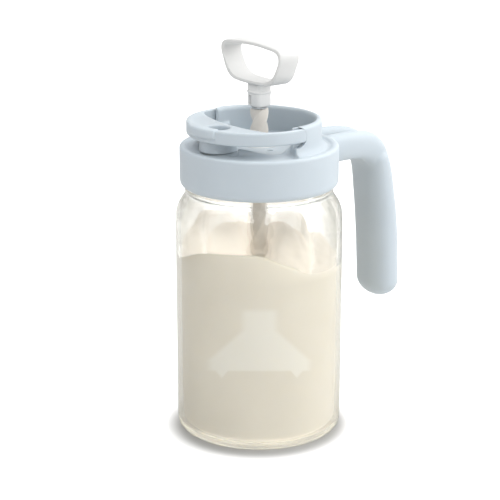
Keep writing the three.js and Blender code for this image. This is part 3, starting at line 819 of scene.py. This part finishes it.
HANDLE_POINTS = [(38, 165.3), (60, 165.8), (77, 163.2), (87, 152.8), (91.2, 133), (94.6, 104), (96.8, 62)]
HANDLE_STEPS = 120
HANDLE_CURVE = smooth_path(HANDLE_POINTS, HANDLE_STEPS)
ARMS_TO = 0.46  # share of the path where the two arms end inside the grip
GRIP_FROM = 0.27  # share of the path where the grip starts between them
GRIP_END_ROUND = 11.5


def handle_ring(index, sideways, half_depth, half_width, squareness, sides=40):
    """A rounded section across the handle's path; squareness 2 is an ellipse."""
    before = HANDLE_CURVE[max(0, index - 1)]
    after = HANDLE_CURVE[min(HANDLE_STEPS, index + 1)]
    along = (after - before).normalized()
    outward = Vector((-along.y, 0, along.x))
    centre = Vector((HANDLE_CURVE[index].x, 0, HANDLE_CURVE[index].y))
    ring = []
    for j in range(sides):
        t = TURN * j / sides
        c, s = math.cos(t), math.sin(t)
        size = (abs(c) ** squareness + abs(s) ** squareness) ** (-1 / squareness)
        point = centre + outward * (half_depth * c * size)
        point.y = sideways + half_width * s * size
        ring.append(point)
    return ring


def handle_arm(side):
    """One of the two level arms, which narrow as they sink into the grip."""
    last = round(ARMS_TO * HANDLE_STEPS)
    rings = []
    for i in range(last + 1):
        along = smoothstep(i / last, 0.25, 1)
        sink = smoothstep(i / last, 0.6, 1)
        sideways = side * mix(9.8, 7.2, along)
        rings.append(handle_ring(i, sideways, mix(8.6, 6.4, sink), mix(5.2, 5.8, along), squareness=2.4))
    return loft(f"arm_{side}", rings)


def handle_grip():
    """The hanging grip: an oval bar that swells downwards and ends in a round."""
    first = round(GRIP_FROM * HANDLE_STEPS)
    total = sum((b - a).length for a, b in zip(HANDLE_CURVE, HANDLE_CURVE[1:]))
    rings = []
    for i in range(first, HANDLE_STEPS + 1):
        share = i / HANDLE_STEPS
        into_end = max(0, 1 - (1 - share) * total / GRIP_END_ROUND)
        shrink = math.sqrt(max(0.0004, 1 - into_end ** 2))
        swell = smoothstep(share, GRIP_FROM, 0.7)
        start = smoothstep(share, GRIP_FROM, 0.36)
        half_depth = mix(8.2, 10.4, swell) * shrink
        half_width = mix(7.4, 15, start) * shrink
        rings.append(handle_ring(i, 0, half_depth, half_width, squareness=2.25))
    return loft("grip", rings)


def lid_body():
    """The collar and the flat deck."""
    return lathe("lid_moulding", [
        (0, DECK_UNDER, 0), (CAP_BORE, DECK_UNDER, 1), (CAP_BORE, CAP_BOTTOM + 0.4, 0.6),
        (CAP_BORE + 1, CAP_BOTTOM, 0.6), (CAP_RADIUS - 0.5, CAP_BOTTOM + 1.6, 1),
        (CAP_RADIUS, CAP_BOTTOM + 3.4, 2), (CAP_RADIUS, DECK_TOP, 4.4),
        (CROWN_FOOT + 0.5, DECK_TOP - 0.1, 1), (CROWN_FOOT - 0.2, DECK_TOP - 1, 1),
        (38.4, DECK_TOP - 1, 1), (36.4, DECK_TOP, 1.5), (0, DECK_TOP, 0),
    ], 192)


def lid_holes():
    """Openings through the deck: for pouring, for air, and the stepped seat of the nut."""
    spout = [
        (0, DECK_BELOW, 0), (SPOUT_BORE, DECK_BELOW, 0), (SPOUT_BORE, DECK_TOP - 0.7, 0),
        (SPOUT_BORE + 0.7, DECK_TOP, 0), (SPOUT_BORE + 1, DECK_ABOVE, 0), (0, DECK_ABOVE, 0),
    ]
    return [
        lathe("spout_hole", spout, 64, (SPOUT_X, 0)),
        pillar("vent_hole", VENT_RADIUS, DECK_BELOW, DECK_ABOVE, (VENT_X, VENT_Y), 32),
        pillar("nut_seat", NUT_FLANGE + GAP, NUT_TOP - 2, DECK_ABOVE),
        pillar("nut_hole", NUT_BODY + GAP, DECK_BELOW, DECK_ABOVE),
    ]


def build_lid():
    """Collar, deck, crown, pouring walls and handle as one soft-edged moulding."""
    lid = lid_body()
    handle = combine(handle_arm(1), [handle_arm(-1), handle_grip()], "UNION")
    core = pillar("handle_core", CAP_RADIUS - 1.2, 120, 200, segments=160)
    combine(handle, [core], "DIFFERENCE")
    combine(lid, [crown_solid(), pour_wall(1), pour_wall(-1), handle], "UNION")
    combine(lid, lid_holes(), "DIFFERENCE")
    soften(lid, voxel=0.5, rounds=11, keep=0.45)
    combine(lid, crown_pockets(), "DIFFERENCE")
    near, far = LUG_OUTER - 1, LUG_OUTER + PIN_LENGTH
    combine(lid, [pivot_bar(PIN_RADIUS, side * near, side * far) for side in (1, -1)], "UNION")
    shade(lid, 50)
    place(lid, CAP_PLASTIC, "lid", "cap_plastic", "screw_cap", "pour_crown", "jug_handle")


build_lid()


# --- visor ---

VISOR_TOP = 187.6
VISOR_RIM = 189.1
VISOR_BOTTOM = 181.0
VISOR_BELOW = 160  # cutting blocks start at this height
RECESS_FLOOR = 178  # bottom of the well in the plug
VISOR_PLATE = 3  # thickness of the plate over the plug
VISOR_INNER = 36.95
VISOR_EDGE = -20  # x of the crescent's edge in the middle
VISOR_EDGE_END = -13.5  # and at its ends
TAB_ANGLE = 18  # half the thumb tab's width, in degrees


def rim_point(radius, degrees):
    """A point about the centre of the outline that the crown and the visor share."""
    angle = math.radians(degrees)
    return RIM_X + radius * math.cos(angle), radius * math.sin(angle)


def visor_opening(top):
    """The visor's underside hollow and the crescent cut out of it towards the handle."""
    sagitta = VISOR_EDGE_END - VISOR_EDGE
    edge_radius = (VISOR_INNER ** 2 + sagitta ** 2) / (2 * sagitta)
    low = VISOR_BELOW + STEP_OUT
    hollow = pillar("hollow", VISOR_INNER, low, top - VISOR_PLATE, (RIM_X, 0), 128)
    opening = pillar("opening", VISOR_INNER, low, FAR_UP - STEP_OUT, (RIM_X, 0), 128)
    sweep = pillar("sweep", edge_radius, VISOR_BELOW, FAR_UP, (VISOR_EDGE + edge_radius, 0), 300)
    combine(opening, [sweep], "INTERSECT")
    return [hollow, opening]


def visor_arm_cuts():
    """What leaves two thin arms with round ends and holes for the pins."""
    arm_face = LUG_OUTER + 0.12
    beyond_pivot = box("beyond_pivot", (PIVOT_X, -FAR_OUT, VISOR_BELOW), (FAR_OUT, FAR_OUT, FAR_UP))
    past = FAR_OUT + STEP_OUT
    combine(beyond_pivot, [pivot_bar(ARM_ROUND, -past, past, 72)], "DIFFERENCE")
    middle = box("between_arms", (PIVOT_X - POCKET, -arm_face, VISOR_BELOW), (FAR_OUT, arm_face, FAR_UP))
    hole_end = LUG_OUTER + PIN_LENGTH + GAP
    pin_holes = [pivot_bar(PIN_RADIUS + 0.35, side * 30, side * hole_end) for side in (1, -1)]
    return [beyond_pivot, middle, *pin_holes]


def thumb_tab():
    """The rounded tab on the pouring side that lifts the visor."""
    spread_angles = [180 - TAB_ANGLE + 2 * TAB_ANGLE * i / 12 for i in range(13)]
    levels = [(183.6, 39.9), (184.6, 41.3), (186.5, 41.6), (188.4, 41.5), (189.3, 40.9), (189.6, 39.6)]
    rings = []
    for z, outer in levels:
        ends = [0.9 * abs(a - 180) ** 4 / TAB_ANGLE ** 4 for a in spread_angles]
        front = [(*rim_point(outer - end, a), z) for a, end in zip(spread_angles, ends)]
        back = [(*rim_point(VISOR_INNER - 0.6, a), z) for a in reversed(spread_angles)]
        rings.append(front + back)
    return loft("tab", rings)


def build_visor():
    """The flip visor: a shallow rim with a plate, a thumb tab, two arms and the hollow spout plug."""
    top, rim = VISOR_TOP, VISOR_RIM
    visor = lathe("visor_moulding", [
        (0, VISOR_BOTTOM, 0), (RIM_RADIUS, VISOR_BOTTOM, 1.4), (RIM_RADIUS, rim, 2.4),
        (VISOR_INNER + 0.4, rim, 1.4), (VISOR_INNER - 3.4, top, 3.4), (0, top - 0.3, 0),
    ], 160, centre=(RIM_X, 0))
    combine(visor, visor_opening(top), "DIFFERENCE")
    plug = lathe("plug", [
        (0, PLUG_BOTTOM, 0), (10.35, PLUG_BOTTOM, 0), (10.35, DECK_TOP + GAP, 0), (11.3, DECK_TOP + GAP, 0.4),
        (10.75, DECK_TOP + 2.2, 1.2), (10.75, VISOR_BOTTOM - 0.2, 0.5),
        (9.2, VISOR_BOTTOM - 0.2, 0.3), (9.2, top - 2.5, 0), (0, top - 2.5, 0),
    ], 96, centre=(SPOUT_X, 0))
    combine(visor, [thumb_tab(), plug], "UNION")
    recess = lathe("recess", [
        (0, RECESS_FLOOR, 0), (6.6, RECESS_FLOOR, 1.2), (6.7, top - 0.9, 0.8),
        (7.5, top + 0.2, 0.3), (7.8, 200, 0), (0, 200, 0),
    ], 96, centre=(SPOUT_X, 0))
    combine(visor, [recess], "DIFFERENCE")
    soften(visor, voxel=0.4, rounds=7, keep=0.5)
    combine(visor, visor_arm_cuts(), "DIFFERENCE")
    shade(visor, 50)
    place(visor, CAP_PLASTIC, "visor", "cap_plastic", "pour_visor", "spout_plug")


build_visor()


# --- pull loop and socket ---

ROD_NECK = 2.8
LOOP_BAND = 2.2  # thickness of the band
LOOP_HALF_DEPTH = 7
LOOP_HALF_TOP = 30.3
LOOP_HALF_BOTTOM = 21
PIN_Z = 204.8  # height of the swivel pins and of the socket's ridge over them
SOCKET_HALF_X = 5.25
SOCKET_HALF_Y = 5.5
SLOT_LOW = (-8, 1.35, 197.2)
SLOT_HIGH = (-3.4, 3.05, 203)


def loop_corners(inset):
    """The loop's outline, seen along X, this far inside its outer face."""
    low = SOCKET_TOP + GAP + inset
    high = LOOP_TOP + 0.6 - inset
    half_top = LOOP_HALF_TOP - inset
    half_bottom = LOOP_HALF_BOTTOM - inset
    return [
        (0, low, 12), (half_bottom, low + 1.3, 8), (half_top, high - 2.8, 9),
        (0, high, 14), (-half_top, high - 2.8, 9), (-half_bottom, low + 1.3, 8),
    ]


def build_loop():
    """The band: a closed outline swept across its depth, thinner and rounded at both edges."""
    depth = LOOP_HALF_DEPTH
    outside = [(0.0, 0.55), (0.25, 0.2), (0.8, 0)]  # distance from the edge and inset, from edge to middle
    inside = [(0.0, 0.75), (0.25, 0.3), (0.9, 0.1)]
    section = [(-depth + edge, inset) for edge, inset in outside]
    section.append((0, 0))
    section += [(depth - edge, inset) for edge, inset in reversed(outside)]
    section += [(depth - edge, LOOP_BAND - inset) for edge, inset in inside]
    section.append((0, LOOP_BAND))
    section += [(-depth + edge, LOOP_BAND - inset) for edge, inset in reversed(inside)]
    bm = bmesh.new()
    rings = []
    for x, inset in section:
        rings.append([bm.verts.new((x, a, b)) for a, b in rounded(loop_corners(inset), True, 14)])
    skin(bm, rings, close_rows=True)
    loop = to_object("pull_band", bm)
    shade(loop, 40)
    place(loop, LOOP_PLASTIC, "plunger", "loop_plastic", "pull_loop")


def socket_ring(grow, corner, z):
    """The socket's rounded rectangle at a height, grown on every side."""
    x = SOCKET_HALF_X + grow
    y = SOCKET_HALF_Y + grow
    outline = rounded([(x, y, corner), (-x, y, corner), (-x, -y, corner), (x, -y, corner)])
    return [(a, b, z) for a, b in outline]


def build_socket():
    """The socket under the loop: square and rounded, with a ridge, a bore for the rod and a slot."""
    low, high = SOCKET_BOTTOM, SOCKET_TOP
    foot = [socket_ring(-0.75, 2.4, low), socket_ring(-0.25, 2.4, low + 0.5), socket_ring(0, 2.4, low + 1.4)]
    ridge = [
        socket_ring(0, 2.4, PIN_Z - 0.9), socket_ring(0.37, 2.6, PIN_Z - 0.5), socket_ring(0.45, 2.6, PIN_Z),
        socket_ring(0.37, 2.6, PIN_Z + 0.5), socket_ring(0, 2.4, PIN_Z + 0.9),
    ]
    socket = loft("pull_socket", foot + ridge + [socket_ring(0, 2.4, high + 0.2)])
    bore = pillar("bore", ROD_NECK + GAP, low - 1, high - 2)
    combine(socket, [bore, box("slot", SLOT_LOW, SLOT_HIGH)], "DIFFERENCE")
    add_edge(socket, 0.25)
    settle(socket)
    shade(socket, 40)
    place(socket, SOCKET_PLASTIC, "plunger", "loop_plastic", "handle_socket")


build_loop()
build_socket()


# --- rod, nut and whisk bell ---

ROD_LEAD = 46  # length of one turn
ROD_PHASE = 0.46  # turn of the square at height 0, in radians
ROD_SIDE = 7.7
ROD_CORNER = 1.1
ROD_HOLLOW = 0.06
ROD_BOTTOM = 73.6
TWIST_STEP = 0.8
ROD_GROOVE = 1.7  # radius in the groove that the swivel pins run in
GROOVE_HALF = 1.1
SPIGOT_SIDE = 5
SPIGOT_FOOT = 62.3


def square_section(side, corner):
    half = side / 2
    corners = [(half, half), (-half, half), (-half, -half), (half, -half)]
    return rounded([(x, y, corner) for x, y in corners], steps=4)


def twisted(name, side, corner, low, high):
    """A square bar twisted about Z, with slightly hollow faces."""
    rings = []
    steps = math.ceil((high - low) / TWIST_STEP)
    for i in range(steps + 1):
        z = mix(low, high, i / steps)
        turn = TURN * z / ROD_LEAD + ROD_PHASE
        c, s = math.cos(turn), math.sin(turn)
        points = []
        for x, y in square_section(side, corner):
            dip = 1 - ROD_HOLLOW * math.cos(4 * math.atan2(y, x))
            points.append(((x * c - y * s) * dip, (x * s + y * c) * dip, z))
        rings.append(points)
    return loft(name, rings)


def build_rod():
    """The twisted bar with its grooved round neck above, and a square spigot and a stud below."""
    top = SOCKET_BOTTOM - 2 * GAP - 0.8
    rod = twisted("twisted_bar", ROD_SIDE, ROD_CORNER, ROD_BOTTOM, top)
    neck = lathe("rod_neck", [
        (0, top - 1, 0), (ROD_NECK, top - 1, 0), (ROD_NECK, PIN_Z - GROOVE_HALF, 0),
        (ROD_GROOVE, PIN_Z - GROOVE_HALF, 0), (ROD_GROOVE, PIN_Z + GROOVE_HALF, 0),
        (ROD_NECK, PIN_Z + GROOVE_HALF, 0), (ROD_NECK, ROD_TOP, 0.5), (0, ROD_TOP, 0),
    ], 40)
    half = SPIGOT_SIDE / 2
    spigot = box("rod_spigot", (-half, -half, SPIGOT_FOOT), (half, half, ROD_BOTTOM + 1))
    stud = pillar("rod_stud", 2.4, ROD_FOOT, SPIGOT_FOOT + 0.7, segments=40)
    combine(rod, [neck, spigot, stud], "UNION")
    shade(rod, 35)
    place(rod, ROD_PLASTIC, "rod", "rod_plastic", "twisted_rod")


def build_nut():
    """The flanged nut in the deck, with a twisted square way for the rod."""
    low, high = NUT_BOTTOM, NUT_TOP
    nut = lathe("square_nut", [
        (0, low, 0), (NUT_BODY, low, 0.6), (NUT_BODY, high - 1.4, 0), (NUT_FLANGE, high - 1.4, 0.3),
        (NUT_FLANGE, high, 0.8), (10.4, high, 0.4), (9.9, high - 0.35, 0.2), (9.4, high, 0.3), (0, high, 0),
    ], 96)
    way = twisted("nut_way", ROD_SIDE + 0.7, ROD_CORNER + 0.35, low - 1, high + 1)
    combine(nut, [way], "DIFFERENCE")
    shade(nut, 40)
    place(nut, NUT_NYLON, "lid", "white_nylon", "drive_nut")


def turned(points, angle):
    """(x, y) points turned about the origin."""
    c, s = math.cos(angle), math.sin(angle)
    return [(x * c - y * s, x * s + y * c) for x, y in points]


def bell_foot(index):
    """A pointed foot under the bell's rim, between two windows."""
    rings = []
    for z, half in ((36.2, 0.7), (37.6, 1.6), (40, 3.2), (43.4, 4.6)):
        outline = [(33.4, half, 0.4), (31.2, half, 0.4), (31.2, -half, 0.4), (33.4, -half, 0.4)]
        section = rounded(outline, steps=2)
        rings.append([(x, y, z) for x, y in turned(section, math.pi / 4 + index * math.pi / 2)])
    return loft(f"foot_{index}", rings)


def bell_window(index):
    """A wedge with rounded corners that cuts through the bell's cone."""
    outline = rounded([(14.5, -4.5, 1.5), (28.5, -9.5, 2), (28.5, 9.5, 2), (14.5, 4.5, 1.5)], steps=3)
    points = turned(outline, index * math.pi / 2)
    return loft(f"window_{index}", [[(x, y, z) for x, y in points] for z in (41, 73)])


def build_bell():
    """The whisk: a hub, a cone with four windows, and four pointed feet."""
    bell = lathe("whisk", [
        (0, 62, 0), (9, 62, 0.5), (31.8, 42.3, 0.6), (33.6, 42, 0.5), (34, 45.6, 1.2), (14.5, 61.5, 5),
        (10.5, 66, 3), (10.5, 73.3, 1), (0, 73.3, 0),
    ], 128)
    combine(bell, [bell_foot(i) for i in range(4)], "UNION")
    half = SPIGOT_SIDE / 2 + GAP
    square = box("bell_square", (-half, -half, 50), (half, half, 80))
    combine(bell, [square] + [bell_window(i) for i in range(4)], "DIFFERENCE")
    soften(bell, voxel=0.45, rounds=4, keep=0.5)
    shade(bell, 60)
    place(bell, BELL_PLASTIC, "rod", "bell_plastic", "whisk_bell")


build_rod()
build_nut()
build_bell()


# --- CAD nodes that stay ---

KEPT_NODES = {
    "jar_seal_ring": SILICONE, "rod_wiper": SILICONE, "spout_seal": SILICONE, "nut_retainer": NUT_NYLON,
    "bell_nut": NUT_NYLON, "swivel_pin_left": STEEL, "swivel_pin_right": STEEL, "swivel_washer": STEEL,
    "bell_washer": STEEL,
}


def finish_kept_nodes():
    """Gives the kept nodes their materials and fine bevels."""
    for name, material in KEPT_NODES.items():
        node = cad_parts[name]
        node.data.materials.clear()
        node.data.materials.append(material)
        add_edge(node, 0.12)


finish_kept_nodes()


# --- camera ---

VIEW_DISTANCE = 0.888  # metres
VIEW_SIDEWAYS = -0.0054
VIEW_HEIGHT = 0.377
VIEW_PITCH = math.radians(16.8)
LENS = 112
SENSOR_WIDTH = 36


def add_camera():
    data = bpy.data.cameras.new("camera")
    data.lens = LENS
    data.sensor_width = SENSOR_WIDTH
    data.clip_end = 30
    camera = link("camera", data)
    sideways = Vector(VIEW_RIGHT) * VIEW_SIDEWAYS
    camera.location = sideways - Vector(VIEW_AWAY) * VIEW_DISTANCE + Vector((0, 0, VIEW_HEIGHT))
    camera.rotation_euler = (math.pi / 2 - VIEW_PITCH, 0, -VIEW_AZIMUTH)
    bpy.context.scene.camera = camera


# --- floor and light ---

FLOOR_HALF = 9000
FLOOR_GREY = 0.74
SHADOW_GREY = 0.30  # painted shadow: the floor's tone round the jar's foot
SHADOW_SHIFT = 5 * MM  # the painted shadow reaches this much further to the front
FLOOR_GLOW = 0.5  # what the camera sees added outside the painted shadow, so that the floor is white
THROUGH_GLOW = 0.8  # what shows through the glass
UNDER_GLOW = 2  # what lights the contents and the glass from below


def shadow_distance(tree):
    """Distance from the middle of the painted shadow, in metres."""
    coordinates = tree.nodes.new("ShaderNodeTexCoord")
    shifted = tree.nodes.new("ShaderNodeVectorMath")
    shifted.operation = "ADD"
    feed(tree, shifted, {0: coordinates.outputs["Object"], 1: Vector(VIEW_AWAY) * SHADOW_SHIFT})
    length = tree.nodes.new("ShaderNodeVectorMath")
    length.operation = "LENGTH"
    feed(tree, length, {0: shifted.outputs["Vector"]})
    return length.outputs["Value"]


def floor_material():
    """A white floor with a painted shadow, a soft darker ring round the jar, which glows for the glass and
    the contents.
    """
    material, tree, shader = new_material("floor_white")
    distance = shadow_distance(tree)
    # painted shadow: the floor's tone rises from dark at the jar's foot to the floor's grey
    lighter = ramp_up(tree, distance, 44 * MM, 60 * MM, FLOOR_GREY - SHADOW_GREY)
    path = tree.nodes.new("ShaderNodeLightPath")
    # the glow is left out near the jar, which darkens the painted shadow further
    glow = ramp_up(tree, distance, 47 * MM, 62 * MM, FLOOR_GLOW)
    seen = math_node(tree, "MULTIPLY", glow, path.outputs["Is Camera Ray"])
    through = math_node(tree, "MULTIPLY", THROUGH_GLOW, path.outputs["Is Transmission Ray"])
    beneath = ramp_down(tree, distance, 44 * MM, 52 * MM, UNDER_GLOW)
    lit = math_node(tree, "MULTIPLY", beneath, path.outputs["Is Diffuse Ray"])
    unseen = math_node(tree, "ADD", through, lit)
    feed(tree, shader, {
        "Base Color": math_node(tree, "ADD", SHADOW_GREY, lighter),
        "Roughness": 0.9,
        "Emission Color": (1, 1, 1, 1),
        "Emission Strength": math_node(tree, "ADD", seen, unseen),
    })
    return material


def add_floor():
    bm = bmesh.new()
    bmesh.ops.create_grid(bm, x_segments=1, y_segments=1, size=FLOOR_HALF)
    floor = to_object("floor", bm)
    floor.data.materials.append(floor_material())


LIGHT_TARGET = (0, 0, 0.12)


def add_area(name, size, power, azimuth, elevation, distance):
    """A square soft light aimed at the target; azimuth 0 puts it towards -Y, and 90 towards +X."""
    data = bpy.data.lights.new(name, "AREA")
    data.shape = "SQUARE"
    data.size = size
    data.energy = power
    lamp = link(name, data)
    a, e = math.radians(azimuth), math.radians(elevation)
    direction = Vector((math.sin(a) * math.cos(e), -math.cos(a) * math.cos(e), math.sin(e)))
    lamp.location = Vector(LIGHT_TARGET) + direction * distance
    lamp.rotation_euler = direction.to_track_quat("Z", "Y").to_euler()


ROOM_DIM = 0.14  # the room's light from below on the pouring side
ROOM_BRIGHT = 1.42  # and from above on the handle side
ROOM_SIDE = 0.75
ROOM_UP = 0.65
ROOM_RANGE = 0.8


def add_world():
    """A soft room: bright from the handle side, dimmer from the pouring side, and plain white behind."""
    world = bpy.data.worlds.new("world")
    world.use_nodes = True
    tree = world.node_tree
    side = dot_axis(tree, (ROOM_SIDE * VIEW_COS, -ROOM_SIDE * VIEW_SIN, ROOM_UP), space="Generated")
    level = ramp_up(tree, side, -ROOM_RANGE, ROOM_RANGE, ROOM_BRIGHT - ROOM_DIM)
    room = tree.nodes["Background"]
    feed(tree, room, {"Color": (1, 1, 1, 1), "Strength": math_node(tree, "ADD", ROOM_DIM, level)})
    white = tree.nodes.new("ShaderNodeBackground")
    feed(tree, white, {"Color": (1, 1, 1, 1)})
    path = tree.nodes.new("ShaderNodeLightPath")
    seen = math_node(tree, "MAXIMUM", path.outputs["Is Camera Ray"], path.outputs["Is Transmission Ray"])
    feed(tree, tree.nodes["World Output"], {"Surface": mix_shaders(tree, seen, room, white)})
    bpy.context.scene.world = world
    bpy.context.scene.view_settings.view_transform = "Standard"


add_camera()
add_floor()
add_world()
add_area("key", size=1.0, power=10, azimuth=56, elevation=32, distance=1.6)
add_area("top", size=0.7, power=1.0, azimuth=0, elevation=88, distance=1.0)
add_area("fill", size=0.5, power=3.2, azimuth=-75, elevation=58, distance=1.2)
